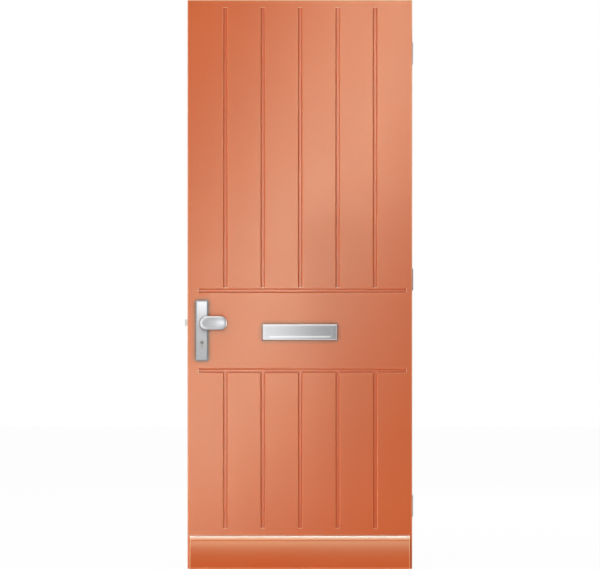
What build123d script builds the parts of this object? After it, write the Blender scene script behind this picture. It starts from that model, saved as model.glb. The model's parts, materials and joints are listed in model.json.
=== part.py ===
"""A panelled front door leaf with its weatherboard, mortise lock, handles, letter plate and hinges.

Millimetres. X runs from the lock edge to the hinge edge as seen from outside, the outside face
looks towards -Y, and Z is up. The origin is at the middle of the leaf's bottom edge.
"""

import math
import os

from build123d import *

os.makedirs("parts", exist_ok=True)

# The leaf: two skins on a frame of stiles and rails, with insulating cores
leaf_width = 930.0
leaf_height = 2355.0
leaf_thickness = 54.0
skin_thickness = 9.0
arris = 2.0
stile_width = 110.0
top_rail_height = 110.0
bottom_rail_height = 200.0
letter_rail_height = 150.0

# Grooves routed in both faces
plank_count = 6
groove_width = 21.0
groove_floor = 9.6
groove_depth = 5.0
groove_shoulder_width = 3.0
groove_shoulder_drop = 1.45
groove_shoulder_radius = 4.9
groove_land = 3.0
groove_offset = 1.6
groove_top_margin = 32.0
groove_bottom_rise = 170.0
upper_cross_rise = 1152.0
lower_cross_rise = 821.0
cross_lock_margin = 46.0
cross_hinge_margin = 25.0

# Weatherboard on the outside of the bottom rail
board_inset = 10.0
board_height = 141.0
board_depth = 40.0
board_nose_height = 25.0
board_nose_depth = 20.0
board_nose_bulge = 4.5
board_face_bulge = 5.0
board_toe_height = 5.0
drip_radius = 3.0
drip_setback = 12.0

# Mortise lock in the lock stile
backset = 60.0
cylinder_rise = 937.5
cylinder_to_spindle = 72.0
case_depth = 86.0
case_thickness = 16.0
case_wall = 2.0
case_below_cylinder = 38.0
case_above_spindle = 46.0
forend_thickness = 3.0
forend_width = 24.0
forend_overlap = 38.0
forend_screw_inset = 14.0
mortise_clearance = 0.5
sliding_clearance = 0.3
running_clearance = 0.05

# Latch bolt, with a tail that passes over the follower and hooks behind its arm
latch_projection = 11.5
latch_height = 28.0
latch_thickness = 11.0
latch_rise = 10.0
latch_length = 30.0
latch_nose = 3.0
latch_bevel = 11.0
tail_height = 8.0
tail_rise = 12.0
tail_thickness = 4.0
tail_side_gap = 0.5
hook_length = 6.0
hook_gap = 0.4

# Follower and half spindle
follower_radius = 10.0
follower_play = 0.5
trunnion_radius = 7.0
arm_width = 5.0
arm_reach = 21.0
spindle_side = 8.0
spindle_hole_radius = 8.0
spindle_in_lever = 26.0

# Dead bolt
bolt_height = 32.0
bolt_thickness = 11.0
bolt_length = 58.0
bolt_rise = 35.0
bolt_edge_radius = 1.0

# Profile cylinder
cylinder_radius = 8.5
web_width = 10.0
web_drop = 19.5
cylinder_proud = 1.0
plug_radius = 6.5
cam_width = 10.0
cam_reach = 15.0
cam_lobe_width = 8.0
cam_side_gap = 0.3
cam_relief = 0.6
keyway_width = 2.6
keyway_height = 8.5
keyway_depth = 24.0
cylinder_hole_clearance = 0.35
cylinder_passage_clearance = 1.5
cylinder_screw_drop = 20.0
cylinder_screw_radius = 2.5

# Long backplates, outside and inside
plate_width = 51.0
plate_height = 248.0
plate_above_cylinder = 49.5
outer_plate_depth = 10.0
inner_plate_depth = 8.0
plate_bevel_width = 5.5
plate_bevel_depth = 3.0
post_inset = 17.0
post_radius = 5.0
post_end_gap = 1.0
post_hole_clearance = 0.5
plate_bolt_radius = 3.0
plate_bolt_head_radius = 6.0
plate_bolt_grip = 28.0

# Fixed outside knob: an oval pad on an offset neck
knob_above_cylinder = 80.5
knob_width = 115.0
knob_height = 60.0
knob_overhang = 10.5
knob_corner_radius = 27.0
knob_pad_depth = 20.0
knob_front_radius = 8.5
knob_back_bevel = 4.0
knob_neck_length = 20.0
knob_neck_radius = 13.0
knob_neck_offset = 3.0
knob_shoulder_width = 54.0
knob_shoulder_height = 40.0
knob_shoulder_radius = 15.0
knob_shoulder_offset = 20.0
dish_width = 90.0
dish_height = 47.0
dish_depth = 3.5
dish_overrun = 10.0
knob_screw_radius = 4.0
knob_screw_head_radius = 6.5
knob_screw_head_depth = 4.5
knob_screw_grip = 14.0

# Inside lever
lever_radius = 9.5
lever_projection = 38.0
lever_length = 125.0
lever_bend_radius = 20.0
lever_end_radius = 6.0
lever_seat_gap = 1.0
bush_wall = 2.5
grub_radius = 2.5
grub_gap = 0.3
grub_socket_radius = 1.2
grub_socket_depth = 2.5
grub_setback = 11.0

# Letter plate: outer frame with its flap, inner frame with its flap, and the tunnel between
letter_rise = 980.0
letter_plate_width = 311.0
letter_plate_height = 68.0
letter_plate_depth = 10.0
letter_edge_radius = 7.5
letter_inner_edge_radius = 1.0
letter_sill_width = 252.0
letter_sill_height = 7.0
letter_sill_depth = 2.6
letter_corner_radius = 3.0
aperture_width = 262.0
aperture_height = 31.0
aperture_corner_radius = 2.0
letter_lip = 3.5
tunnel_width = 275.0
tunnel_height = 46.0
flap_thickness = 2.2
flap_lap = 3.5
flap_side_gap = 1.5
flap_front_gap = 0.3
flap_knuckle_radius = 3.2
flap_pin_radius = 1.6
flap_pin_seat = 4.0
flap_pivot_drop = 4.0
inner_letter_depth = 4.0
inner_letter_edge_radius = 1.5
inner_flap_width = 280.0
inner_flap_lap = 5.0
inner_pivot_rise = 8.0
ear_thickness = 4.0
ear_height = 9.0
ear_gap = 0.5
letter_bolt_pitch = 294.0
letter_bolt_radius = 2.5
letter_bolt_head_radius = 4.6
letter_bolt_grip = 6.5

# Three butt hinges on the hinge edge, with their knuckles on the inside
hinge_top_drop = 220.0
hinge_bottom_rise = 260.0
hinge_height = 89.0
hinge_reach = 36.0
hinge_plate_thickness = 3.0
hinge_gap = 1.5
knuckle_radius = 6.5
knuckle_standoff = 0.5
knuckle_gap = 0.4
bearing_height = 3.0
bearing_gap = 0.2
hinge_pin_radius = 3.5
pin_head_radius = 6.0
pin_head_height = 3.0
pin_head_bevel = 1.0
hinge_hole_radius = 2.5
hinge_sink_radius = 4.5
hinge_hole_spacing_y = 14.0
hinge_hole_spacing_z = 58.0
hinge_hole_setback = 22.0

# Wood screws
screw_radius = 2.2
screw_head_radius = 4.3
screw_length = 38.0
screw_recess_length = 4.4
screw_recess_width = 1.1
screw_recess_depth = 1.2
pilot_clearance = 0.05

# How far every cut runs past the face that it starts from
overrun = 2.0

# Places that follow from the sizes above
lock_edge_x = -leaf_width / 2
hinge_edge_x = leaf_width / 2
front_y = -leaf_thickness / 2
back_y = leaf_thickness / 2
core_front_y = front_y + skin_thickness
core_back_y = back_y - skin_thickness
core_depth = core_back_y - core_front_y
rail_length = leaf_width - 2 * stile_width
lock_axis_x = lock_edge_x + backset
spindle_z = cylinder_rise + cylinder_to_spindle
plate_z = cylinder_rise + plate_above_cylinder
knob_z = cylinder_rise + knob_above_cylinder
outer_plate_y = front_y - outer_plate_depth
inner_plate_y = back_y + inner_plate_depth
case_x = lock_edge_x + forend_thickness
case_bottom_z = cylinder_rise - case_below_cylinder
case_top_z = spindle_z + case_above_spindle
case_height = case_top_z - case_bottom_z
case_mid_z = (case_top_z + case_bottom_z) / 2
case_inner_thickness = case_thickness - 2 * case_wall
forend_height = case_height + 2 * forend_overlap
latch_z = spindle_z + latch_rise
bolt_z = cylinder_rise + bolt_rise
post_zs = [plate_z + side * (plate_height / 2 - post_inset) for side in (-1, 1)]
letter_bolt_xs = [side * letter_bolt_pitch / 2 for side in (-1, 1)]
forend_screw_zs = [case_mid_z + side * (forend_height / 2 - forend_screw_inset) for side in (-1, 1)]
hinge_top_z = leaf_height - hinge_top_drop
hinge_zs = {
    "upper": hinge_top_z,
    "middle": (hinge_top_z + hinge_bottom_rise) / 2,
    "lower": hinge_bottom_rise,
}
hinge_axis_x = hinge_edge_x + hinge_gap + hinge_plate_thickness - knuckle_radius
hinge_axis_y = back_y + knuckle_standoff + knuckle_radius


def face_plane(y):
    """The upright plane at depth y, drawn in X and Z, with its normal to the outside."""
    return Plane.XZ.offset(-y)


def edge_plane(x):
    """The upright plane at x, drawn in Y and Z, with its normal towards the hinge edge."""
    return Plane.YZ.offset(x)


def keep(piece, name):
    """Label a finished piece and write it to a file of its own."""
    piece.part.label = name
    export_step(piece.part, f"parts/{name}.step")


# Grooves of the outside face, as the solid that the cutter takes away
with BuildSketch() as groove_section:
    with BuildLine():
        shoulder_end = (groove_width / 2 - groove_shoulder_width, groove_shoulder_drop)
        RadiusArc((groove_width / 2, 0), shoulder_end, groove_shoulder_radius)
        Polyline(shoulder_end, (groove_floor / 2, groove_depth), (0, groove_depth))
        Polyline((groove_width / 2, 0), (groove_width / 2, -overrun), (0, -overrun))
        mirror(about=Plane.YZ)
    make_face()

plank_pitch = leaf_width / plank_count
groove_xs = [
    plank_pitch * count - leaf_width / 2 + groove_offset for count in range(1, plank_count)
]
upper_groove_z = upper_cross_rise + groove_width / 2 + groove_land
upper_groove_length = leaf_height - groove_top_margin - upper_groove_z
lower_groove_length = lower_cross_rise - groove_bottom_rise
cross_length = leaf_width - cross_lock_margin - cross_hinge_margin

with BuildPart() as groove_cut:
    with BuildSketch(Plane.XY.offset(upper_groove_z)):
        with Locations(*[(x, front_y) for x in groove_xs]):
            add(groove_section.sketch)
    extrude(amount=upper_groove_length)
    with BuildSketch(Plane.XY.offset(groove_bottom_rise)):
        with Locations(*[(x, front_y) for x in groove_xs]):
            add(groove_section.sketch)
    extrude(amount=lower_groove_length)
    with BuildSketch(edge_plane(lock_edge_x + cross_lock_margin)):
        with Locations((front_y, lower_cross_rise), (front_y, upper_cross_rise)):
            add(groove_section.sketch, rotation=-90)
    extrude(amount=cross_length)


def cylinder_profile(clearance):
    """The keyhole outline of the profile cylinder about its plug axis."""
    with BuildSketch() as profile:
        Circle(cylinder_radius + clearance)
        with Locations((0, -web_drop / 2)):
            Rectangle(web_width + 2 * clearance, web_drop)
        with Locations((0, -web_drop)):
            Circle(web_width / 2 + clearance)
    return profile.sketch


cylinder_outline = cylinder_profile(0)
cylinder_hole = cylinder_profile(cylinder_hole_clearance)
cylinder_passage = cylinder_profile(cylinder_passage_clearance)

# The skins: boards with eased edges and the same grooves, with the holes of the fittings on each side
with BuildPart() as outer_skin:
    with BuildSketch(face_plane(core_front_y)):
        with Locations((0, leaf_height / 2)):
            Rectangle(leaf_width, leaf_height)
    extrude(amount=skin_thickness)
    chamfer(outer_skin.faces().sort_by(Axis.Y)[0].edges(), arris)
    with BuildSketch(face_plane(core_front_y)):
        with Locations((0, letter_rise)):
            Rectangle(tunnel_width, tunnel_height)
        with Locations(*[(x, letter_rise) for x in letter_bolt_xs]):
            Circle(letter_bolt_radius + post_hole_clearance)
        with Locations((lock_axis_x, cylinder_rise)):
            add(cylinder_passage)
        with Locations(*[(lock_axis_x, z) for z in post_zs]):
            Circle(post_radius + post_hole_clearance)
    extrude(amount=skin_thickness, mode=Mode.SUBTRACT)
    add(groove_cut.part, mode=Mode.SUBTRACT)
keep(outer_skin, "outer_skin")

with BuildPart() as inner_skin:
    with BuildSketch(face_plane(back_y)):
        with Locations((0, leaf_height / 2)):
            Rectangle(leaf_width, leaf_height)
    extrude(amount=skin_thickness)
    chamfer(inner_skin.faces().sort_by(Axis.Y)[-1].edges(), arris)
    with BuildSketch(face_plane(back_y)):
        with Locations((0, letter_rise)):
            Rectangle(tunnel_width, tunnel_height)
        with Locations(*[(x, letter_rise) for x in letter_bolt_xs]):
            Circle(letter_bolt_radius + post_hole_clearance)
        with Locations((lock_axis_x, cylinder_rise)):
            add(cylinder_passage)
        with Locations(*[(lock_axis_x, z) for z in post_zs]):
            Circle(plate_bolt_radius + post_hole_clearance)
        with Locations((lock_axis_x, spindle_z)):
            Circle(spindle_hole_radius)
        with Locations(*[(hinge_edge_x - hinge_plate_thickness / 2, z) for z in hinge_zs.values()]):
            Rectangle(hinge_plate_thickness, hinge_height)
    extrude(amount=skin_thickness, mode=Mode.SUBTRACT)
    mirror(groove_cut.part, about=Plane.XZ, mode=Mode.SUBTRACT)
keep(inner_skin, "inner_skin")

# Lock stile, with the mortise of the lock and the passages of its fittings
with BuildPart() as lock_stile:
    with BuildSketch(face_plane(core_back_y)):
        with Locations((lock_edge_x + stile_width / 2, leaf_height / 2)):
            Rectangle(stile_width, leaf_height)
        with Locations(*[(lock_axis_x, z) for z in post_zs]):
            Circle(post_radius + post_hole_clearance, mode=Mode.SUBTRACT)
        with Locations((lock_axis_x, cylinder_rise)):
            add(cylinder_passage, mode=Mode.SUBTRACT)
    extrude(amount=core_depth)
    with BuildSketch(edge_plane(lock_edge_x)):
        with Locations((0, case_mid_z)):
            Rectangle(case_thickness + 2 * mortise_clearance, case_height + 2 * mortise_clearance)
    extrude(amount=forend_thickness + case_depth + mortise_clearance, mode=Mode.SUBTRACT)
    with BuildSketch(edge_plane(lock_edge_x)):
        with Locations((0, case_mid_z)):
            Rectangle(forend_width, forend_height)
    extrude(amount=forend_thickness, mode=Mode.SUBTRACT)
    with BuildSketch(edge_plane(lock_edge_x)):
        with Locations(*[(0, z) for z in forend_screw_zs]):
            Circle(screw_radius + pilot_clearance)
    extrude(amount=screw_length, mode=Mode.SUBTRACT)
    with BuildSketch(face_plane(core_back_y)):
        with Locations((lock_axis_x, spindle_z)):
            Circle(spindle_hole_radius)
    extrude(amount=core_back_y, mode=Mode.SUBTRACT)
keep(lock_stile, "lock_stile")

# Hinge stile, with the recesses and pilot holes of the hinge leaves
hinge_hole_y = back_y - hinge_hole_setback
hinge_hole_points = [
    (hinge_hole_y + side_y * hinge_hole_spacing_y / 2, z + side_z * hinge_hole_spacing_z / 2)
    for z in hinge_zs.values()
    for side_y in (-1, 1)
    for side_z in (-1, 1)
]
hinge_recess_y = back_y - hinge_reach

with BuildPart() as hinge_stile:
    with BuildSketch(face_plane(core_back_y)):
        with Locations((hinge_edge_x - stile_width / 2, leaf_height / 2)):
            Rectangle(stile_width, leaf_height)
    extrude(amount=core_depth)
    with BuildSketch(edge_plane(hinge_edge_x - hinge_plate_thickness)):
        with Locations(*[((hinge_recess_y + back_y) / 2, z) for z in hinge_zs.values()]):
            Rectangle(hinge_reach, hinge_height)
    extrude(amount=hinge_plate_thickness, mode=Mode.SUBTRACT)
    with BuildSketch(edge_plane(hinge_edge_x)):
        with Locations(*hinge_hole_points):
            Circle(screw_radius + pilot_clearance)
    extrude(amount=-screw_length, mode=Mode.SUBTRACT)
keep(hinge_stile, "hinge_stile")


def leaf_filling(bottom_z, height):
    """A board or core between the stiles, as thick as the space between the skins."""
    with BuildPart() as filling:
        with BuildSketch(face_plane(core_back_y)):
            with Locations((0, bottom_z + height / 2)):
                Rectangle(rail_length, height)
        extrude(amount=core_depth)
    return filling


letter_rail_bottom_z = letter_rise - letter_rail_height / 2
letter_rail_top_z = letter_rise + letter_rail_height / 2
top_rail_bottom_z = leaf_height - top_rail_height

top_rail = leaf_filling(top_rail_bottom_z, top_rail_height)
keep(top_rail, "top_rail")
bottom_rail = leaf_filling(0, bottom_rail_height)
keep(bottom_rail, "bottom_rail")
upper_core = leaf_filling(letter_rail_top_z, top_rail_bottom_z - letter_rail_top_z)
keep(upper_core, "upper_core")
lower_core = leaf_filling(bottom_rail_height, letter_rail_bottom_z - bottom_rail_height)
keep(lower_core, "lower_core")

with BuildPart() as letter_rail:
    with BuildSketch(face_plane(core_back_y)):
        with Locations((0, letter_rise)):
            Rectangle(rail_length, letter_rail_height)
            Rectangle(tunnel_width, tunnel_height, mode=Mode.SUBTRACT)
        with Locations(*[(x, letter_rise) for x in letter_bolt_xs]):
            Circle(letter_bolt_radius + post_hole_clearance, mode=Mode.SUBTRACT)
    extrude(amount=core_depth)
keep(letter_rail, "letter_rail")

# Weatherboard: a rounded nose over a face that swells out to the drip edge
board_nose_y = front_y - board_nose_depth
board_nose_z = board_height - board_nose_height
board_toe_y = front_y - board_depth
board_width = leaf_width - 2 * board_inset
drip_y = board_toe_y + drip_setback

with BuildPart() as weatherboard:
    with BuildSketch(edge_plane(-board_width / 2)):
        with BuildLine():
            Line((front_y, 0), (front_y, board_height))
            SagittaArc((front_y, board_height), (board_nose_y, board_nose_z), -board_nose_bulge)
            SagittaArc((board_nose_y, board_nose_z), (board_toe_y, board_toe_height), -board_face_bulge)
            Line((board_toe_y, board_toe_height), (board_toe_y + board_toe_height, 0))
            Line((board_toe_y + board_toe_height, 0), (drip_y - drip_radius, 0))
            SagittaArc((drip_y - drip_radius, 0), (drip_y + drip_radius, 0), drip_radius)
            Line((drip_y + drip_radius, 0), (front_y, 0))
        make_face()
    extrude(amount=board_width)
keep(weatherboard, "weatherboard")

# Lock case: a tray that is open towards the inside, closed by a cover plate
tray_depth = case_thickness - case_wall
tray_back_y = -case_thickness / 2
cover_y = case_thickness / 2
latch_hole = (latch_thickness + 2 * sliding_clearance, latch_height + 2 * sliding_clearance)
bolt_hole = (bolt_thickness + 2 * sliding_clearance, bolt_height + 2 * sliding_clearance)
trunnion_hole_radius = trunnion_radius + running_clearance
cylinder_screw_z = cylinder_rise - cylinder_screw_drop

with BuildPart() as lock_case:
    with BuildSketch(face_plane(tray_back_y)):
        with Locations((case_x + case_depth / 2, case_mid_z)):
            Rectangle(case_depth, case_height)
    extrude(amount=-tray_depth)
    with BuildSketch(face_plane(tray_back_y + case_wall)):
        with Locations((case_x + case_depth / 2, case_mid_z)):
            Rectangle(case_depth - 2 * case_wall, case_height - 2 * case_wall)
    extrude(amount=-tray_depth, mode=Mode.SUBTRACT)
    with BuildSketch(face_plane(tray_back_y)):
        with Locations((lock_axis_x, spindle_z)):
            Circle(trunnion_hole_radius)
        with Locations((lock_axis_x, cylinder_rise)):
            add(cylinder_hole)
    extrude(amount=-case_wall, mode=Mode.SUBTRACT)
    with BuildSketch(edge_plane(case_x)):
        with Locations((0, latch_z)):
            Rectangle(*latch_hole)
        with Locations((0, bolt_z)):
            Rectangle(*bolt_hole)
        with Locations((0, cylinder_screw_z)):
            Circle(cylinder_screw_radius + running_clearance)
    extrude(amount=case_wall, mode=Mode.SUBTRACT)
keep(lock_case, "lock_case")

with BuildPart() as lock_cover:
    with BuildSketch(face_plane(cover_y)):
        with Locations((case_x + case_depth / 2, case_mid_z)):
            Rectangle(case_depth, case_height)
        with Locations((lock_axis_x, spindle_z)):
            Circle(trunnion_hole_radius, mode=Mode.SUBTRACT)
        with Locations((lock_axis_x, cylinder_rise)):
            add(cylinder_hole, mode=Mode.SUBTRACT)
    extrude(amount=case_wall)
keep(lock_cover, "lock_cover")

with BuildPart() as lock_forend:
    with BuildSketch(edge_plane(lock_edge_x)):
        with Locations((0, case_mid_z)):
            Rectangle(forend_width, forend_height)
        with Locations((0, latch_z)):
            Rectangle(*latch_hole, mode=Mode.SUBTRACT)
        with Locations((0, bolt_z)):
            Rectangle(*bolt_hole, mode=Mode.SUBTRACT)
    extrude(amount=forend_thickness)
    sunk_zs = [*forend_screw_zs, cylinder_screw_z]
    with Locations(*[Plane((lock_edge_x, 0, z), z_dir=(-1, 0, 0)) for z in sunk_zs]):
        CounterSinkHole(cylinder_screw_radius + running_clearance, screw_head_radius, counter_sink_angle=90)
keep(lock_forend, "lock_forend")


def countersunk_screws(heads, radius, head_radius, length):
    """Screws with their flat heads on the given planes, each driven along its plane's normal."""
    head_height = head_radius - radius
    with BuildPart() as screws:
        with Locations(*heads):
            Cylinder(radius, length, align=(Align.CENTER, Align.CENTER, Align.MIN))
            Cone(head_radius, radius, head_height, align=(Align.CENTER, Align.CENTER, Align.MIN))
            for turn in (0, 90):
                Box(
                    screw_recess_length,
                    screw_recess_width,
                    screw_recess_depth,
                    rotation=(0, 0, turn),
                    align=(Align.CENTER, Align.CENTER, Align.MIN),
                    mode=Mode.SUBTRACT,
                )
    return screws


forend_heads = [Plane((lock_edge_x, 0, z), z_dir=(1, 0, 0)) for z in forend_screw_zs]
forend_screws = countersunk_screws(forend_heads, screw_radius, screw_head_radius, screw_length)
keep(forend_screws, "forend_screws")

# The latch bolt's bevel faces outside, where it meets the strike as the door is shut
latch_tip_x = lock_edge_x - latch_projection
latch_end_x = latch_tip_x + latch_length
hook_x = lock_axis_x + arm_width / 2 + hook_gap
tail_end_x = hook_x + hook_length
tail_z = spindle_z + tail_rise
tail_far_y = tail_side_gap + tail_thickness

with BuildPart() as latch_bolt:
    with BuildSketch(Plane.XY.offset(latch_z - latch_height / 2)):
        Polygon(
            (latch_end_x, -latch_thickness / 2),
            (latch_end_x, latch_thickness / 2),
            (latch_tip_x, latch_thickness / 2),
            (latch_tip_x, latch_thickness / 2 - latch_nose),
            (latch_tip_x + latch_bevel, -latch_thickness / 2),
        )
    extrude(amount=latch_height)
    with BuildSketch(Plane.XY.offset(tail_z)):
        Polygon(
            (latch_end_x, tail_side_gap),
            (hook_x, tail_side_gap),
            (hook_x, -tail_far_y),
            (tail_end_x, -tail_far_y),
            (tail_end_x, tail_far_y),
            (latch_end_x, tail_far_y),
        )
    extrude(amount=tail_height)
keep(latch_bolt, "latch_bolt")

with BuildPart() as dead_bolt:
    with BuildSketch(edge_plane(lock_edge_x)):
        with Locations((0, bolt_z)):
            Rectangle(bolt_thickness, bolt_height)
    extrude(amount=bolt_length)
    chamfer(dead_bolt.faces().sort_by(Axis.X)[0].edges(), bolt_edge_radius)
keep(dead_bolt, "dead_bolt")

# The follower turns in the case and pulls the latch back by its arm
follower_width = case_inner_thickness - 2 * follower_play

with BuildPart() as follower:
    with BuildSketch(face_plane(follower_width / 2)):
        with Locations((lock_axis_x, spindle_z)):
            Circle(follower_radius)
    extrude(amount=follower_width)
    with BuildSketch(face_plane(case_thickness / 2)):
        with Locations((lock_axis_x, spindle_z)):
            Circle(trunnion_radius)
    extrude(amount=case_thickness)
    with BuildSketch(face_plane(-tail_side_gap)):
        with Locations((lock_axis_x, spindle_z + arm_reach / 2)):
            Rectangle(arm_width, arm_reach)
    extrude(amount=tail_thickness)
    with BuildSketch(face_plane(case_thickness / 2)):
        with Locations((lock_axis_x, spindle_z)):
            Rectangle(spindle_side + 2 * running_clearance, spindle_side + 2 * running_clearance)
    extrude(amount=case_thickness, mode=Mode.SUBTRACT)
keep(follower, "follower")

lever_start_y = back_y + lever_seat_gap
spindle_end_y = lever_start_y + spindle_in_lever
spindle_length = spindle_end_y + case_inner_thickness / 2

with BuildPart() as spindle:
    with BuildSketch(face_plane(spindle_end_y)):
        with Locations((lock_axis_x, spindle_z)):
            Rectangle(spindle_side, spindle_side)
    extrude(amount=spindle_length)
keep(spindle, "spindle")

# Profile cylinder: body, two plugs and the cam between them
cylinder_front_y = outer_plate_y - cylinder_proud
cylinder_back_y = inner_plate_y + cylinder_proud
cam_slot_width = cam_width + 2 * cam_side_gap
cam_slot_radius = cam_reach + cam_relief
cam_lobe_drop = cam_reach - cam_lobe_width / 2

with BuildPart() as cylinder_body:
    with BuildSketch(face_plane(cylinder_back_y)):
        with Locations((lock_axis_x, cylinder_rise)):
            add(cylinder_outline)
            Circle(plug_radius + running_clearance, mode=Mode.SUBTRACT)
    extrude(amount=cylinder_back_y - cylinder_front_y)
    with BuildSketch(face_plane(cam_slot_width / 2)):
        with Locations((lock_axis_x, cylinder_rise)):
            Circle(cam_slot_radius)
    extrude(amount=cam_slot_width, mode=Mode.SUBTRACT)
    with BuildSketch(edge_plane(lock_axis_x - web_width / 2)):
        with Locations((0, cylinder_screw_z)):
            Circle(cylinder_screw_radius + running_clearance)
    extrude(amount=web_width, mode=Mode.SUBTRACT)
keep(cylinder_body, "cylinder_body")


def cylinder_plug(start_y, end_y, keyway_y):
    """A plug that fills one end of the cylinder, with its keyway cut in from keyway_y."""
    length = end_y - start_y
    cut = math.copysign(keyway_depth, keyway_y)
    with BuildPart() as plug:
        with BuildSketch(face_plane(end_y)):
            with Locations((lock_axis_x, cylinder_rise)):
                Circle(plug_radius)
        extrude(amount=length)
        with BuildSketch(face_plane(keyway_y)):
            with Locations((lock_axis_x, cylinder_rise)):
                SlotOverall(keyway_height, keyway_width, rotation=90)
        extrude(amount=cut, mode=Mode.SUBTRACT)
    return plug


outer_plug = cylinder_plug(cylinder_front_y, -cam_width / 2, cylinder_front_y)
keep(outer_plug, "outer_plug")
inner_plug = cylinder_plug(cam_width / 2, cylinder_back_y, cylinder_back_y)
keep(inner_plug, "inner_plug")

with BuildPart() as cylinder_cam:
    with BuildSketch(face_plane(cam_width / 2)):
        with Locations((lock_axis_x, cylinder_rise)):
            Circle(plug_radius)
            SlotCenterPoint((0, -cam_lobe_drop / 2), (0, -cam_lobe_drop), cam_lobe_width)
    extrude(amount=cam_width)
keep(cylinder_cam, "cylinder_cam")

cylinder_screw_length = backset + web_width / 2
cylinder_screw_heads = [Plane((lock_edge_x, 0, cylinder_screw_z), z_dir=(1, 0, 0))]
cylinder_screw = countersunk_screws(
    cylinder_screw_heads, cylinder_screw_radius, screw_head_radius, cylinder_screw_length
)
keep(cylinder_screw, "cylinder_screw")


def back_plate(face_y, depth, bush_radius):
    """A long plate from the leaf's face at face_y outwards, bevelled all round its front."""
    with BuildPart() as plate:
        with BuildSketch(face_plane(face_y)):
            with Locations((lock_axis_x, plate_z)):
                Rectangle(plate_width, plate_height)
        extrude(amount=depth)
        show_face = plate.faces().sort_by(Axis.Y)[0 if depth > 0 else -1]
        chamfer(show_face.edges(), plate_bevel_width, plate_bevel_depth, reference=show_face)
        with BuildSketch(face_plane(face_y)):
            with Locations((lock_axis_x, cylinder_rise)):
                add(cylinder_hole)
            if bush_radius:
                with Locations((lock_axis_x, spindle_z)):
                    Circle(bush_radius)
        extrude(amount=depth, mode=Mode.SUBTRACT)
    return plate


post_end_y = core_back_y - post_end_gap
post_length = post_end_y - front_y
plate_bolt_tip_y = post_end_y - plate_bolt_grip

outer_plate_blank = back_plate(front_y, outer_plate_depth, 0)
with BuildPart() as outer_backplate:
    add(outer_plate_blank.part)
    with BuildSketch(face_plane(post_end_y)):
        with Locations(*[(lock_axis_x, z) for z in post_zs]):
            Circle(post_radius)
            Circle(plate_bolt_radius + running_clearance, mode=Mode.SUBTRACT)
    extrude(amount=post_length)
    with Locations(Plane((lock_axis_x, front_y, knob_z), z_dir=(0, 1, 0))):
        CounterBoreHole(
            knob_screw_radius + running_clearance,
            knob_screw_head_radius + running_clearance,
            knob_screw_head_depth,
            depth=outer_plate_depth,
        )
keep(outer_backplate, "outer_backplate")

# The knob: an offset neck carries an oval pad with a dished front
knob_x = lock_axis_x + knob_width / 2 - knob_overhang
pad_back_y = outer_plate_y - knob_neck_length
pad_front_y = pad_back_y - knob_pad_depth
dish_radius_x = (dish_width ** 2 / 4 + dish_depth ** 2) / (2 * dish_depth)
dish_radius_z = (dish_height ** 2 / 4 + dish_depth ** 2) / (2 * dish_depth)
dish_apex_y = pad_front_y + dish_depth
dish_axis_y = dish_apex_y - dish_radius_z
dish_half = dish_width / 2 + dish_overrun
dish_end_y = dish_apex_y - dish_radius_x + math.sqrt(dish_radius_x ** 2 - dish_half ** 2)

with BuildPart() as outer_knob:
    with BuildSketch(face_plane(pad_back_y)):
        with Locations((knob_x, knob_z)):
            RectangleRounded(knob_width, knob_height, knob_corner_radius)
    extrude(amount=knob_pad_depth)
    chamfer(outer_knob.faces().sort_by(Axis.Y)[-1].edges(), knob_back_bevel)
    fillet(outer_knob.faces().sort_by(Axis.Y)[0].edges(), knob_front_radius)
    with BuildSketch(face_plane(outer_plate_y)):
        with Locations((lock_axis_x + knob_neck_offset, knob_z)):
            Circle(knob_neck_radius)
    with BuildSketch(face_plane(pad_back_y - knob_back_bevel)):
        with Locations((lock_axis_x + knob_shoulder_offset, knob_z)):
            RectangleRounded(knob_shoulder_width, knob_shoulder_height, knob_shoulder_radius)
    loft()
    with BuildSketch(Plane.XY.offset(knob_z)):
        with BuildLine():
            ThreePointArc(
                (knob_x - dish_half, dish_end_y), (knob_x, dish_apex_y), (knob_x + dish_half, dish_end_y)
            )
            Polyline(
                (knob_x + dish_half, dish_end_y),
                (knob_x + dish_half, dish_axis_y),
                (knob_x - dish_half, dish_axis_y),
                (knob_x - dish_half, dish_end_y),
            )
        make_face()
    revolve(axis=Axis((knob_x, dish_axis_y, knob_z), (1, 0, 0)), mode=Mode.SUBTRACT)
    with Locations(Plane((lock_axis_x, outer_plate_y, knob_z), z_dir=(0, 1, 0))):
        Hole(knob_screw_radius + running_clearance, depth=knob_screw_grip)
keep(outer_knob, "outer_knob")

with BuildPart() as knob_screw:
    with BuildSketch(face_plane(front_y)):
        with Locations((lock_axis_x, knob_z)):
            Circle(knob_screw_head_radius)
    extrude(amount=knob_screw_head_depth)
    with BuildSketch(face_plane(front_y)):
        with Locations((lock_axis_x, knob_z)):
            Circle(knob_screw_radius)
    extrude(amount=outer_plate_depth + knob_screw_grip)
    with BuildSketch(face_plane(front_y)):
        with Locations((lock_axis_x, knob_z)):
            RegularPolygon(knob_screw_radius, 6)
    extrude(amount=knob_screw_head_depth / 2, mode=Mode.SUBTRACT)
keep(knob_screw, "knob_screw")

bush_radius = lever_radius + running_clearance + bush_wall
inner_plate_blank = back_plate(back_y, -inner_plate_depth, bush_radius)
with BuildPart() as inner_backplate:
    add(inner_plate_blank.part)
    with Locations(*[Plane((lock_axis_x, inner_plate_y, z), z_dir=(0, 1, 0)) for z in post_zs]):
        CounterSinkHole(
            plate_bolt_radius + running_clearance, plate_bolt_head_radius, counter_sink_angle=90
        )
keep(inner_backplate, "inner_backplate")

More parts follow.
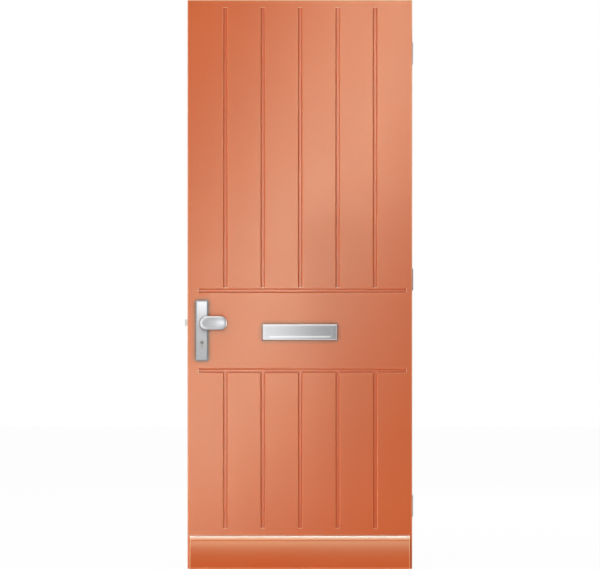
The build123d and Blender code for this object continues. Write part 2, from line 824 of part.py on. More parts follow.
plate_bolt_heads = [Plane((lock_axis_x, inner_plate_y, z), z_dir=(0, -1, 0)) for z in post_zs]
plate_bolt_length = inner_plate_y - plate_bolt_tip_y
plate_bolts = countersunk_screws(
    plate_bolt_heads, plate_bolt_radius, plate_bolt_head_radius, plate_bolt_length
)
keep(plate_bolts, "plate_bolts")

with BuildPart() as lever_bush:
    with BuildSketch(face_plane(inner_plate_y)):
        with Locations((lock_axis_x, spindle_z)):
            Circle(bush_radius)
            Circle(lever_radius + running_clearance, mode=Mode.SUBTRACT)
    extrude(amount=inner_plate_depth)
keep(lever_bush, "lever_bush")

# Inside lever: a round bar that leaves the plate, bends and runs towards the hinges
lever_y = inner_plate_y + lever_projection
grub_y = inner_plate_y + grub_setback
grub_length = lever_radius - spindle_side / 2 - grub_gap

with BuildPart() as inner_lever:
    with BuildLine():
        FilletPolyline(
            (lock_axis_x, lever_start_y, spindle_z),
            (lock_axis_x, lever_y, spindle_z),
            (lock_axis_x + lever_length, lever_y, spindle_z),
            radius=lever_bend_radius,
        )
    with BuildSketch(Plane((lock_axis_x, lever_start_y, spindle_z), z_dir=(0, 1, 0))):
        Circle(lever_radius)
    sweep()
    fillet(inner_lever.faces().sort_by(Axis.X)[-1].edges(), lever_end_radius)
    with BuildSketch(face_plane(lever_start_y)):
        with Locations((lock_axis_x, spindle_z)):
            Rectangle(spindle_side + 2 * running_clearance, spindle_side + 2 * running_clearance)
    extrude(amount=-spindle_in_lever, mode=Mode.SUBTRACT)
    with BuildSketch(Plane((lock_axis_x, grub_y, spindle_z), z_dir=(0, 0, -1))):
        Circle(grub_radius + running_clearance)
    extrude(amount=lever_radius, mode=Mode.SUBTRACT)
keep(inner_lever, "inner_lever")

with BuildPart() as lever_grub_screw:
    with BuildSketch(Plane((lock_axis_x, grub_y, spindle_z - spindle_side / 2), z_dir=(0, 0, -1))):
        Circle(grub_radius)
    extrude(amount=grub_length)
    with BuildSketch(lever_grub_screw.faces().sort_by(Axis.Z)[0]):
        RegularPolygon(grub_socket_radius, 6)
    extrude(amount=-grub_socket_depth, mode=Mode.SUBTRACT)
keep(lever_grub_screw, "lever_grub_screw")

# Outer letter plate: a rounded frame with a sloping finger sill and a pocket behind its lip for the flap
letter_front_y = front_y - letter_plate_depth
aperture_top_z = letter_rise + aperture_height / 2
aperture_bottom_z = letter_rise - aperture_height / 2
flap_front_y = letter_front_y + letter_lip + flap_front_gap
flap_pivot_y = flap_front_y + flap_knuckle_radius
flap_pivot_z = letter_rise + tunnel_height / 2 - flap_pivot_drop
flap_width = tunnel_width - 2 * flap_side_gap
flap_pin_length = tunnel_width + 2 * flap_pin_seat

with BuildPart() as outer_letter_plate:
    with BuildSketch(face_plane(front_y)):
        with Locations((0, letter_rise)):
            Rectangle(letter_plate_width, letter_plate_height)
    extrude(amount=letter_plate_depth)
    fillet(outer_letter_plate.faces().sort_by(Axis.Y)[0].edges(), letter_edge_radius)
    with BuildSketch(face_plane(front_y)):
        with Locations((0, letter_rise)):
            RectangleRounded(aperture_width, aperture_height, aperture_corner_radius)
    extrude(amount=letter_plate_depth, mode=Mode.SUBTRACT)
    aperture_rim = outer_letter_plate.faces().sort_by(Axis.Y)[0].inner_wires()[0].edges()
    fillet(aperture_rim, letter_inner_edge_radius)
    with BuildSketch(edge_plane(-letter_sill_width / 2)):
        Polygon(
            (letter_front_y, aperture_bottom_z - letter_sill_height),
            (letter_front_y + letter_sill_depth, aperture_bottom_z),
            (letter_front_y, aperture_bottom_z),
        )
    extrude(amount=letter_sill_width, mode=Mode.SUBTRACT)
    with BuildSketch(face_plane(front_y)):
        with Locations((0, letter_rise)):
            Rectangle(tunnel_width, tunnel_height)
    extrude(amount=letter_plate_depth - letter_lip, mode=Mode.SUBTRACT)
    with BuildSketch(edge_plane(-flap_pin_length / 2)):
        with Locations((flap_pivot_y, flap_pivot_z)):
            Circle(flap_pin_radius + running_clearance)
    extrude(amount=flap_pin_length, mode=Mode.SUBTRACT)
    with BuildSketch(face_plane(front_y)):
        with Locations(*[(x, letter_rise) for x in letter_bolt_xs]):
            Circle(letter_bolt_radius + running_clearance)
    extrude(amount=letter_bolt_grip, mode=Mode.SUBTRACT)
keep(outer_letter_plate, "outer_letter_plate")


def hinged_flap(width, front, pivot, bottom_z):
    """A flap that hangs from a knuckle along its top edge, with its face at front."""
    pivot_y, pivot_z = pivot
    with BuildPart() as flap:
        with BuildSketch(edge_plane(-width / 2)):
            with Locations((pivot_y, pivot_z)):
                Circle(flap_knuckle_radius)
            with Locations((front + flap_thickness / 2, (pivot_z + bottom_z) / 2)):
                Rectangle(flap_thickness, pivot_z - bottom_z)
            with Locations((pivot_y, pivot_z)):
                Circle(flap_pin_radius + running_clearance, mode=Mode.SUBTRACT)
        extrude(amount=width)
    return flap


def flap_pin(length, pivot):
    """The straight pin that a flap turns on."""
    with BuildPart() as pin:
        with BuildSketch(edge_plane(-length / 2)):
            with Locations(pivot):
                Circle(flap_pin_radius)
        extrude(amount=length)
    return pin


outer_pivot = (flap_pivot_y, flap_pivot_z)
outer_flap = hinged_flap(flap_width, flap_front_y, outer_pivot, aperture_bottom_z - flap_lap)
keep(outer_flap, "outer_flap")
outer_flap_pin = flap_pin(flap_pin_length, outer_pivot)
keep(outer_flap_pin, "outer_flap_pin")

# Inner letter plate, with two ears that carry the pin of the inner flap
inner_letter_y = back_y + inner_letter_depth
inner_flap_front_y = inner_letter_y + flap_front_gap
inner_pivot = (inner_flap_front_y + flap_knuckle_radius, aperture_top_z + inner_pivot_rise)
inner_pin_length = inner_flap_width + 2 * (ear_gap + ear_thickness)
ear_reach = inner_pivot[0] + flap_knuckle_radius - inner_letter_y
ear_xs = [side * (inner_flap_width + ear_thickness + 2 * ear_gap) / 2 for side in (-1, 1)]

with BuildPart() as inner_letter_plate:
    with BuildSketch(face_plane(inner_letter_y)):
        with Locations((0, letter_rise)):
            RectangleRounded(letter_plate_width, letter_plate_height, letter_corner_radius)
            RectangleRounded(
                aperture_width, aperture_height, aperture_corner_radius, mode=Mode.SUBTRACT
            )
    extrude(amount=inner_letter_depth)
    rim_face = inner_letter_plate.faces().sort_by(Axis.Y)[-1]
    fillet(rim_face.outer_wire().edges(), inner_letter_edge_radius)
    with BuildSketch(face_plane(inner_letter_y)):
        with Locations(*[(x, inner_pivot[1]) for x in ear_xs]):
            Rectangle(ear_thickness, ear_height)
    extrude(amount=-ear_reach)
    with BuildSketch(edge_plane(-inner_pin_length / 2)):
        with Locations(inner_pivot):
            Circle(flap_pin_radius + running_clearance)
    extrude(amount=inner_pin_length, mode=Mode.SUBTRACT)
    with Locations(*[Plane((x, inner_letter_y, letter_rise), z_dir=(0, 1, 0)) for x in letter_bolt_xs]):
        CounterSinkHole(
            letter_bolt_radius + running_clearance, letter_bolt_head_radius, counter_sink_angle=90
        )
keep(inner_letter_plate, "inner_letter_plate")

inner_flap_bottom_z = aperture_bottom_z - inner_flap_lap
inner_flap = hinged_flap(inner_flap_width, inner_flap_front_y, inner_pivot, inner_flap_bottom_z)
keep(inner_flap, "inner_flap")
inner_flap_pin = flap_pin(inner_pin_length, inner_pivot)
keep(inner_flap_pin, "inner_flap_pin")

letter_bolt_heads = [
    Plane((x, inner_letter_y, letter_rise), z_dir=(0, -1, 0)) for x in letter_bolt_xs
]
letter_bolt_length = inner_letter_y - front_y + letter_bolt_grip
letter_bolts = countersunk_screws(
    letter_bolt_heads, letter_bolt_radius, letter_bolt_head_radius, letter_bolt_length
)
keep(letter_bolts, "letter_bolts")

# Hinges: from the bottom up, each frame knuckle carries a bearing and a leaf knuckle
frame_knuckles = 3
door_knuckles = frame_knuckles - 1
bearing_step = bearing_height + bearing_gap
free_height = hinge_height - door_knuckles * (bearing_step + knuckle_gap)
knuckle_height = free_height / (frame_knuckles + door_knuckles)
knuckle_pitch = 2 * knuckle_height + bearing_step + knuckle_gap
frame_plate_x = hinge_edge_x + hinge_gap
door_plate_x = hinge_edge_x - hinge_plate_thickness
door_bore_radius = hinge_pin_radius + running_clearance
door_hole_radius = screw_radius + pilot_clearance


def hinge_leaf(hinge_z, plate_x, knuckle_bottoms, bore_radius, hole_radius, sink_side):
    """One leaf of a butt hinge: a plate with sunk holes, and its knuckles about the hinge axis."""
    with BuildPart() as leaf:
        with BuildSketch(edge_plane(plate_x)):
            with Locations((back_y - hinge_reach / 2, hinge_z)):
                Rectangle(hinge_reach, hinge_height)
            for bottom in knuckle_bottoms:
                with Locations((back_y, bottom + knuckle_height / 2)):
                    Rectangle(
                        hinge_axis_y - back_y, knuckle_height, align=(Align.MIN, Align.CENTER)
                    )
        extrude(amount=hinge_plate_thickness)
        for bottom in knuckle_bottoms:
            with BuildSketch(Plane.XY.offset(bottom)):
                with Locations((hinge_axis_x, hinge_axis_y)):
                    Circle(knuckle_radius)
            extrude(amount=knuckle_height)
        with BuildSketch(Plane.XY.offset(hinge_z - hinge_height / 2)):
            with Locations((hinge_axis_x, hinge_axis_y)):
                Circle(bore_radius)
        extrude(amount=hinge_height, mode=Mode.SUBTRACT)
        sunk_x = plate_x + hinge_plate_thickness if sink_side > 0 else plate_x
        sunk_points = [point for point in hinge_hole_points if abs(point[1] - hinge_z) < hinge_height]
        with Locations(*[Plane((sunk_x, y, z), z_dir=(sink_side, 0, 0)) for y, z in sunk_points]):
            CounterSinkHole(hole_radius, hinge_sink_radius, counter_sink_angle=90)
    return leaf


for place, hinge_z in hinge_zs.items():
    hinge_bottom_z = hinge_z - hinge_height / 2
    frame_bottoms = [hinge_bottom_z + count * knuckle_pitch for count in range(frame_knuckles)]
    bearing_bottoms = [bottom + knuckle_height for bottom in frame_bottoms[:door_knuckles]]
    door_bottoms = [bottom + bearing_step for bottom in bearing_bottoms]

    frame_leaf = hinge_leaf(
        hinge_z, frame_plate_x, frame_bottoms, hinge_pin_radius, hinge_hole_radius, -1
    )
    keep(frame_leaf, f"{place}_frame_leaf")
    door_leaf = hinge_leaf(
        hinge_z, door_plate_x, door_bottoms, door_bore_radius, door_hole_radius, 1
    )
    keep(door_leaf, f"{place}_door_leaf")

    with BuildPart() as hinge_bearings:
        for bottom in bearing_bottoms:
            with BuildSketch(Plane.XY.offset(bottom)):
                with Locations((hinge_axis_x, hinge_axis_y)):
                    Circle(knuckle_radius)
                    Circle(hinge_pin_radius, mode=Mode.SUBTRACT)
            extrude(amount=bearing_height)
    keep(hinge_bearings, f"{place}_hinge_bearings")

    with BuildPart() as hinge_pin:
        with BuildSketch(Plane.XY.offset(hinge_bottom_z)):
            with Locations((hinge_axis_x, hinge_axis_y)):
                Circle(hinge_pin_radius)
        extrude(amount=hinge_height)
        with BuildSketch(Plane.XY.offset(hinge_bottom_z + hinge_height)):
            with Locations((hinge_axis_x, hinge_axis_y)):
                Circle(pin_head_radius)
        extrude(amount=pin_head_height)
        chamfer(hinge_pin.faces().sort_by(Axis.Z)[-1].edges(), pin_head_bevel)
    keep(hinge_pin, f"{place}_hinge_pin")

hinge_heads = [Plane((hinge_edge_x, y, z), z_dir=(-1, 0, 0)) for y, z in hinge_hole_points]
hinge_screws = countersunk_screws(hinge_heads, screw_radius, screw_head_radius, screw_length)
keep(hinge_screws, "hinge_screws")
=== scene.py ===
"""The panelled front door as the photograph shows it: orange satin paint and satin metal in a white studio.

Lengths are in metres and angles in degrees. Values from the photograph are in its pixels."""

import json
import math
from typing import NamedTuple

import bpy
from mathutils import Color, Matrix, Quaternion, Vector


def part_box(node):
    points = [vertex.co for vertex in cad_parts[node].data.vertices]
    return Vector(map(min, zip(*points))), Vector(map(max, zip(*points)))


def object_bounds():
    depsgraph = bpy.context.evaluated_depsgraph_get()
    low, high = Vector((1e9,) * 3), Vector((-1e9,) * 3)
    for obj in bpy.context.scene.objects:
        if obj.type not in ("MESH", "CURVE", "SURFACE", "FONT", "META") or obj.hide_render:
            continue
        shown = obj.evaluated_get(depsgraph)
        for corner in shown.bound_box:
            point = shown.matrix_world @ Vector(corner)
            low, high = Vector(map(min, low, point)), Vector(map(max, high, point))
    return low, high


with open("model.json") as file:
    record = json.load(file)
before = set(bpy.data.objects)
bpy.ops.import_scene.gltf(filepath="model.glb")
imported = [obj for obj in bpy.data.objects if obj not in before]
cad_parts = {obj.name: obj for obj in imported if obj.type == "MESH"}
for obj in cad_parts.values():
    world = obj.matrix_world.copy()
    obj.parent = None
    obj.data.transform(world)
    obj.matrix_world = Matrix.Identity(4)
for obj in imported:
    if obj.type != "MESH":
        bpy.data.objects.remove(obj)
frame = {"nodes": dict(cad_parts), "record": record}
cad_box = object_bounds()
nodes = frame["nodes"]
scene = bpy.context.scene

# The photograph's frame, and where the leaf stands in it
IMAGE_WIDTH_PX = 600
LEAF_HEIGHT_PX = 569
LEAF_CENTRE_PX = 299.84

# A point on the ridge of the sheen, and how far the ridge leans sideways for each metre up
SHEEN_X_PX = 285
SHEEN_Y_PX = 260
SHEEN_LEAN_SHARE = 0.487

leaf_low, leaf_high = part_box("outer_skin")
leaf_height = leaf_high.z - leaf_low.z
metres_per_px = leaf_height / LEAF_HEIGHT_PX

# Values of colours
FULL_LEVEL = 255
WHITE = (1, 1, 1, 1)

# Sockets of a mix of two colours
FIRST_COLOUR = 6
SECOND_COLOUR = 7
MIXED_COLOUR = 2


def linear(red, green, blue):
    """A colour given as on a screen, 0 to 255, as the linear colour that shaders take."""
    shares = [level / FULL_LEVEL for level in (red, green, blue)]
    return (*Color(shares).from_srgb_to_scene_linear(), 1.0)


# Building blocks of the materials
NOISE_SPREAD_SHARES = (0.3, 0.7)
OPENNESS_SAMPLES = 8


def new_material(name):
    """An empty material with its tree, its shader and its object coordinates."""
    material = bpy.data.materials.new(name)
    material.use_nodes = True
    tree = material.node_tree
    shader = tree.nodes["Principled BSDF"]
    place = tree.nodes.new("ShaderNodeTexCoord").outputs["Object"]
    return material, tree, shader, place


def stretched(tree, place, scale):
    """Coordinates multiplied by scale along each axis, so that a pattern has grain."""
    mapping = tree.nodes.new("ShaderNodeMapping")
    mapping.inputs["Scale"].default_value = scale
    tree.links.new(place, mapping.inputs["Vector"])
    return mapping.outputs["Vector"]


def noise(tree, place, scale, detail=2.0):
    """A soft random pattern with about scale features to the metre."""
    texture = tree.nodes.new("ShaderNodeTexNoise")
    texture.inputs["Scale"].default_value = scale
    texture.inputs["Detail"].default_value = detail
    tree.links.new(place, texture.inputs["Vector"])
    return texture.outputs["Fac"]


def ramp(tree, pattern, source, result=(0.0, 1.0)):
    """The pattern's range from source start to source end, spread over the result's range."""
    spread = tree.nodes.new("ShaderNodeMapRange")
    spread.inputs["From Min"].default_value, spread.inputs["From Max"].default_value = source
    spread.inputs["To Min"].default_value, spread.inputs["To Max"].default_value = result
    tree.links.new(pattern, spread.inputs["Value"])
    return spread.outputs["Result"]


def blend_colours(tree, pattern, first, second):
    """Two colours mixed by a random pattern."""
    mix = tree.nodes.new("ShaderNodeMix")
    mix.data_type = "RGBA"
    mix.inputs[FIRST_COLOUR].default_value = first
    mix.inputs[SECOND_COLOUR].default_value = second
    tree.links.new(ramp(tree, pattern, NOISE_SPREAD_SHARES), mix.inputs["Factor"])
    return mix.outputs[MIXED_COLOUR]


def toned(tree, colour, tone, pattern, shares):
    """The colour, turning into the tone as the pattern goes from the first share to the second."""
    mix = tree.nodes.new("ShaderNodeMix")
    mix.data_type = "RGBA"
    mix.inputs[SECOND_COLOUR].default_value = tone
    tree.links.new(ramp(tree, pattern, shares), mix.inputs["Factor"])
    tree.links.new(colour, mix.inputs[FIRST_COLOUR])
    return mix.outputs[MIXED_COLOUR]


def bumped(tree, pattern, strength, height):
    """A normal that is roughened by the pattern."""
    bump = tree.nodes.new("ShaderNodeBump")
    bump.inputs["Strength"].default_value = strength
    bump.inputs["Distance"].default_value = height
    tree.links.new(pattern, bump.inputs["Height"])
    return bump.outputs["Normal"]


def openness(tree, reach, own_only, inside=False):
    """1 on open faces and less in corners, made by the object's own faces only or by all.

    From the inside, it is 1 on flat faces and less along outer edges."""
    occlusion = tree.nodes.new("ShaderNodeAmbientOcclusion")
    occlusion.samples = OPENNESS_SAMPLES
    occlusion.only_local = own_only
    occlusion.inside = inside
    occlusion.inputs["Distance"].default_value = reach
    return occlusion.outputs["AO"]


def combined(tree, operation, first, second):
    """Two patterns put together by one operation."""
    math_node = tree.nodes.new("ShaderNodeMath")
    math_node.operation = operation
    tree.links.new(first, math_node.inputs[0])
    tree.links.new(second, math_node.inputs[1])
    return math_node.outputs["Value"]


def height_of(tree, place):
    """The height over the floor."""
    axes = tree.nodes.new("ShaderNodeSeparateXYZ")
    tree.links.new(place, axes.inputs["Vector"])
    return axes.outputs["Z"]


# Satin paint: the openness between which each tone sets in, and how far around a point it looks
# Painted shade in the grooves: a darker, redder tone where the groove walls are closed in
GROOVE_SHADE_REACH = 0.006
GROOVE_SHADE_SHARES = (0.93, 0.7)
# Painted highlight along outer edges and groove shoulders, together with some wear there
EDGE_WEAR_AND_HIGHLIGHT_REACH = 0.003
EDGE_WEAR_AND_HIGHLIGHT_SHARES = (0.985, 0.9)
# Painted shade around the fittings: a dark tone where other pieces stand close to the paint
FITTING_SHADE_REACH = 0.02
FITTING_SHADE_SHARES = (0.02, 0.3)
# The painted shade around the fittings is left out below the first height and is full above the second, so
# that the floor adds none
FITTING_SHADE_HEIGHTS = (0.3, 0.5)
DRIFT_PER_METRE = 2.5
GLOSS_DRIFT_PER_METRE = 9.0
PAINT_ROUGHNESS_SHARES = (0.38, 0.42)
PAINT_SPECULAR_SHARE = 0.3
PEEL_PER_METRE = 700.0
PEEL_DETAIL = 1.0
PEEL_STRENGTH_SHARE = 0.05
PEEL_HEIGHT = 0.0002


def satin_paint(name, light, dark, groove_shade, edge_wear_and_highlight, fitting_shade):
    """Sprayed satin paint: a faint drift of colour, orange peel, painted shade in the grooves, a painted
    highlight together with some wear along outer edges, and painted shade around the fittings."""
    material, tree, shader, place = new_material(name)
    colour = blend_colours(tree, noise(tree, place, DRIFT_PER_METRE), light, dark)
    # Painted shade: the paint turns darker and redder in the grooves
    colour = toned(tree, colour, groove_shade, openness(tree, GROOVE_SHADE_REACH, True), GROOVE_SHADE_SHARES)
    # Painted highlight with some wear: the paint turns paler along outer edges
    colour = toned(tree, colour, edge_wear_and_highlight, openness(tree, EDGE_WEAR_AND_HIGHLIGHT_REACH, True, inside=True), EDGE_WEAR_AND_HIGHLIGHT_SHARES)

    # Painted shade: the paint turns dark where other pieces stand close, away from the floor
    own = openness(tree, FITTING_SHADE_REACH, True)
    fitting_shade_mask = combined(tree, "SUBTRACT", own, openness(tree, FITTING_SHADE_REACH, False))
    fitting_shade_height_share = ramp(tree, height_of(tree, place), FITTING_SHADE_HEIGHTS)
    colour = toned(tree, colour, fitting_shade, combined(tree, "MULTIPLY", fitting_shade_mask, fitting_shade_height_share), FITTING_SHADE_SHARES)
    tree.links.new(colour, shader.inputs["Base Color"])

    gloss_drift = noise(tree, place, GLOSS_DRIFT_PER_METRE)
    roughness = ramp(tree, gloss_drift, NOISE_SPREAD_SHARES, PAINT_ROUGHNESS_SHARES)
    tree.links.new(roughness, shader.inputs["Roughness"])
    shader.inputs["Specular IOR Level"].default_value = PAINT_SPECULAR_SHARE
    peel = noise(tree, place, PEEL_PER_METRE, PEEL_DETAIL)
    tree.links.new(bumped(tree, peel, PEEL_STRENGTH_SHARE, PEEL_HEIGHT), shader.inputs["Normal"])
    return material


# Brushed metal: marks to the metre on each axis, few of them along the brush
ALONG_X = (6.0, 900.0, 900.0)
ALONG_Z = (900.0, 900.0, 6.0)
MARKS_SCALE = 1.0
MARKS_DETAIL = 3.0
MARKS_STRENGTH_SHARE = 0.06
MARKS_HEIGHT = 0.0002
BRUSHED_ROUGHNESS_SHARES = (0.3, 0.42)


def brushed_metal(name, light, dark, grain):
    """Metal with fine brush marks, drawn out along the axis where grain is small."""
    material, tree, shader, place = new_material(name)
    shader.inputs["Metallic"].default_value = 1.0
    marks = noise(tree, stretched(tree, place, grain), MARKS_SCALE, MARKS_DETAIL)
    tree.links.new(blend_colours(tree, marks, light, dark), shader.inputs["Base Color"])
    roughness = ramp(tree, marks, NOISE_SPREAD_SHARES, BRUSHED_ROUGHNESS_SHARES)
    tree.links.new(roughness, shader.inputs["Roughness"])
    tree.links.new(bumped(tree, marks, MARKS_STRENGTH_SHARE, MARKS_HEIGHT), shader.inputs["Normal"])
    return material


# Plated metal
BLOOM_PER_METRE = 60.0
BLOOM_DETAIL = 4.0


def plated_metal(name, light, dark, roughness_shares):
    """Plated metal with a faint cloudy bloom."""
    material, tree, shader, place = new_material(name)
    shader.inputs["Metallic"].default_value = 1.0
    bloom = noise(tree, place, BLOOM_PER_METRE, BLOOM_DETAIL)
    tree.links.new(blend_colours(tree, bloom, light, dark), shader.inputs["Base Color"])
    roughness = ramp(tree, bloom, NOISE_SPREAD_SHARES, roughness_shares)
    tree.links.new(roughness, shader.inputs["Roughness"])
    return material


# Moulded plastic
GRAIN_PER_METRE = 1500.0
GRAIN_STRENGTH_SHARE = 0.1
GRAIN_HEIGHT = 0.0001
PLASTIC_ROUGHNESS_SHARES = (0.45, 0.6)


def moulded_plastic(name, light, dark):
    """Matt plastic with a fine moulded grain."""
    material, tree, shader, place = new_material(name)
    grain = noise(tree, place, GRAIN_PER_METRE)
    tree.links.new(blend_colours(tree, grain, light, dark), shader.inputs["Base Color"])
    roughness = ramp(tree, grain, NOISE_SPREAD_SHARES, PLASTIC_ROUGHNESS_SHARES)
    tree.links.new(roughness, shader.inputs["Roughness"])
    tree.links.new(bumped(tree, grain, GRAIN_STRENGTH_SHARE, GRAIN_HEIGHT), shader.inputs["Normal"])
    return material


# Chipped board
CHIPS_PER_METRE = 250.0
CHIPS_STRENGTH_SHARE = 0.3
CHIPS_HEIGHT = 0.001
BOARD_ROUGHNESS_SHARE = 0.85


def chipped_board(name, light, dark):
    """Raw board of pressed chips."""
    material, tree, shader, place = new_material(name)
    texture = tree.nodes.new("ShaderNodeTexVoronoi")
    texture.inputs["Scale"].default_value = CHIPS_PER_METRE
    tree.links.new(place, texture.inputs["Vector"])
    chips = texture.outputs["Distance"]
    tree.links.new(blend_colours(tree, chips, light, dark), shader.inputs["Base Color"])
    shader.inputs["Roughness"].default_value = BOARD_ROUGHNESS_SHARE
    tree.links.new(bumped(tree, chips, CHIPS_STRENGTH_SHARE, CHIPS_HEIGHT), shader.inputs["Normal"])
    return material


# The finish of each piece: by its slot in the record, or by its own name
# The orange paint's last three colours are painted shade in the grooves, a painted highlight with some wear
# along outer edges, and painted shade around the fittings
orange_paint = satin_paint(
    "orange_paint", light=linear(197, 84, 22), dark=linear(194, 81, 20),
    groove_shade=linear(185, 30, 4), edge_wear_and_highlight=linear(222, 160, 118), fitting_shade=linear(105, 46, 22),
)
satin_light = linear(180, 181, 183)
satin_dark = linear(169, 170, 172)
flat_metal = brushed_metal("satin_aluminium", satin_light, satin_dark, ALONG_X)
long_metal = brushed_metal("satin_aluminium_upright", satin_light, satin_dark, ALONG_Z)
letter_metal = brushed_metal("pale_aluminium", linear(226, 227, 229), linear(216, 217, 219), ALONG_X)
worn_nickel = plated_metal("worn_nickel", linear(172, 171, 168), linear(158, 157, 154), (0.3, 0.4))
dull_nickel = plated_metal("dull_nickel", linear(142, 141, 139), linear(128, 127, 125), (0.35, 0.45))
by_slot = {
    "orange_paint": orange_paint,
    "satin_aluminium": flat_metal,
    "lock_steel": plated_metal("lock_steel", linear(205, 206, 209), linear(190, 191, 195), (0.25, 0.4)),
    "nickel": plated_metal("nickel", linear(226, 225, 221), linear(214, 213, 208), (0.25, 0.35)),
    "hinge_zinc": plated_metal("hinge_zinc", linear(226, 228, 230), linear(212, 214, 217), (0.35, 0.5)),
    "nylon": moulded_plastic("nylon", linear(236, 236, 233), linear(228, 228, 224)),
    "core_board": chipped_board("core_board", linear(214, 186, 140), linear(176, 141, 96)),
}
letter_pieces = ["outer_letter_plate", "outer_flap", "inner_letter_plate", "inner_flap"]
by_node = {
    "outer_backplate": long_metal,
    "inner_backplate": long_metal,
    "cylinder_body": worn_nickel,
    "outer_plug": dull_nickel,
    "inner_plug": dull_nickel,
}
by_node.update({piece: letter_metal for piece in letter_pieces})

slot_of = {part["node"]: part["material_slot"] for part in frame["record"]["subparts"]}
for name, node in nodes.items():
    node.data.materials.clear()
    node.data.materials.append(by_node.get(name, by_slot[slot_of[name]]))

# Camera: far away and square on, so that the view is as flat as the photograph's
CAMERA_DISTANCE = 30.0
SENSOR_WIDTH_MM = 36.0

camera_data = bpy.data.cameras.new("camera")
camera_data.sensor_fit = "HORIZONTAL"
camera_data.sensor_width = SENSOR_WIDTH_MM
camera_data.lens = SENSOR_WIDTH_MM * CAMERA_DISTANCE / (IMAGE_WIDTH_PX * metres_per_px)
camera_data.clip_end = 2 * CAMERA_DISTANCE
camera = bpy.data.objects.new("camera", camera_data)
camera.location = (
    (IMAGE_WIDTH_PX / 2 - LEAF_CENTRE_PX) * metres_per_px,
    leaf_low.y - CAMERA_DISTANCE,
    leaf_low.z + leaf_height / 2,
)
camera.rotation_euler = (math.pi / 2, 0, 0)
scene.collection.objects.link(camera)
scene.camera = camera


# Studio: a white world, a pale floor and a grey card
def seen_rays(tree):
    """1 for the rays that show the background: to the camera, and mirrored or seen through."""
    path = tree.nodes.new("ShaderNodeLightPath")
    total = path.outputs["Is Camera Ray"]
    for ray in ("Is Glossy Ray", "Is Transmission Ray"):
        total = combined(tree, "MAXIMUM", total, path.outputs[ray])
    return total


def glowing_mix(tree, share, plain, glow, output):
    """The glow in place of the plain shader, by a share from 0 to 1."""
    mix = tree.nodes.new("ShaderNodeMixShader")
    tree.links.new(share, mix.inputs["Fac"])
    tree.links.new(plain, mix.inputs[1])
    tree.links.new(glow, mix.inputs[2])
    tree.links.new(mix.outputs["Shader"], tree.nodes[output].inputs["Surface"])


AMBIENT_STRENGTH = 0.5


def white_world():
    """White where it is seen, and a softer light on the object."""
    world = bpy.data.worlds.new("studio")
    world.use_nodes = True
    scene.world = world
    tree = world.node_tree
    ambient = tree.nodes["Background"]
    ambient.inputs["Color"].default_value = WHITE
    ambient.inputs["Strength"].default_value = AMBIENT_STRENGTH
    white = tree.nodes.new("ShaderNodeBackground")
    white.inputs["Color"].default_value = WHITE
    white.inputs["Strength"].default_value = 1.0
    glowing_mix(
        tree, seen_rays(tree), ambient.outputs["Background"], white.outputs["Background"], "World Output"
    )


def flat_panel(name, corners):
    """A flat panel of the studio, and the tree of its new material."""
    mesh = bpy.data.meshes.new(name)
    mesh.from_pydata(corners, [], [tuple(range(len(corners)))])
    panel = bpy.data.objects.new(name, mesh)
    scene.collection.objects.link(panel)
    material = bpy.data.materials.new(name)
    material.use_nodes = True
    mesh.materials.append(material)
    return panel, material.node_tree


FLOOR_REACH = 40.0
FLOOR_GAP = 0.0005
FLOOR_COLOUR = (0.9, 0.9, 0.9, 1)
FLOOR_ROUGHNESS_SHARE = 0.8
FLOOR_WHITE_SHARE = 0.96


def white_floor():
    """A pale floor that is white where nothing shades it, and keeps a soft shadow."""
    signs = ((-1, -1), (1, -1), (1, 1), (-1, 1))
    floor, tree = flat_panel("floor", [(x * FLOOR_REACH, y * FLOOR_REACH, 0) for x, y in signs])
    floor.location.z = cad_box[0][2] - FLOOR_GAP
    shader = tree.nodes["Principled BSDF"]
    shader.inputs["Base Color"].default_value = FLOOR_COLOUR
    shader.inputs["Roughness"].default_value = FLOOR_ROUGHNESS_SHARE
    glow = tree.nodes.new("ShaderNodeEmission")
    glow.inputs["Strength"].default_value = 1.0
    share = ramp(tree, seen_rays(tree), (0.0, 1.0), (0.0, FLOOR_WHITE_SHARE))
    glowing_mix(tree, share, shader.outputs["BSDF"], glow.outputs["Emission"], "Material Output")


CARD_LEFT = 0.0
CARD_RIGHT = 0.9
CARD_Y = -0.6
CARD_BOTTOM = 0.5
CARD_TOP = 1.5
CARD_STRENGTH = 0.36


def grey_card():
    """A grey card in front of the leaf that only shows in reflections."""
    lower = [(CARD_LEFT, CARD_Y, CARD_BOTTOM), (CARD_RIGHT, CARD_Y, CARD_BOTTOM)]
    upper = [(CARD_RIGHT, CARD_Y, CARD_TOP), (CARD_LEFT, CARD_Y, CARD_TOP)]
    card, tree = flat_panel("card", lower + upper)
    for ray in ("camera", "diffuse", "transmission", "volume_scatter", "shadow"):
        setattr(card, f"visible_{ray}", False)
    glow = tree.nodes.new("ShaderNodeEmission")
    glow.inputs["Strength"].default_value = CARD_STRENGTH
    tree.links.new(glow.outputs["Emission"], tree.nodes["Material Output"].inputs["Surface"])


white_world()
white_floor()
grey_card()


# Lamps
class Lamp(NamedTuple):
    """A soft rectangular lamp that faces its target, seen from there at angles that are 0, 0 straight in
    front of the leaf. It leans sideways by an angle about its own axis. Where they are given, only the
    group lit gets its light, and only the group shading casts shadows in it."""

    name: str
    target: Vector
    azimuth: float
    elevation: float
    distance: float
    width: float
    height: float
    radiance: float
    rays: tuple = ("diffuse", "glossy")
    lit: bpy.types.Collection = None
    shading: bpy.types.Collection = None
    lean: float = 0.0
    tint: tuple = (1, 1, 1)


DIFFUSE = ("diffuse",)
GLOSS = ("glossy",)


def group_of(name, members):
    """A named group of pieces that some lamps are kept to."""
    group = bpy.data.collections.new(name)
    for member in members:
        group.objects.link(nodes[member])
    return group


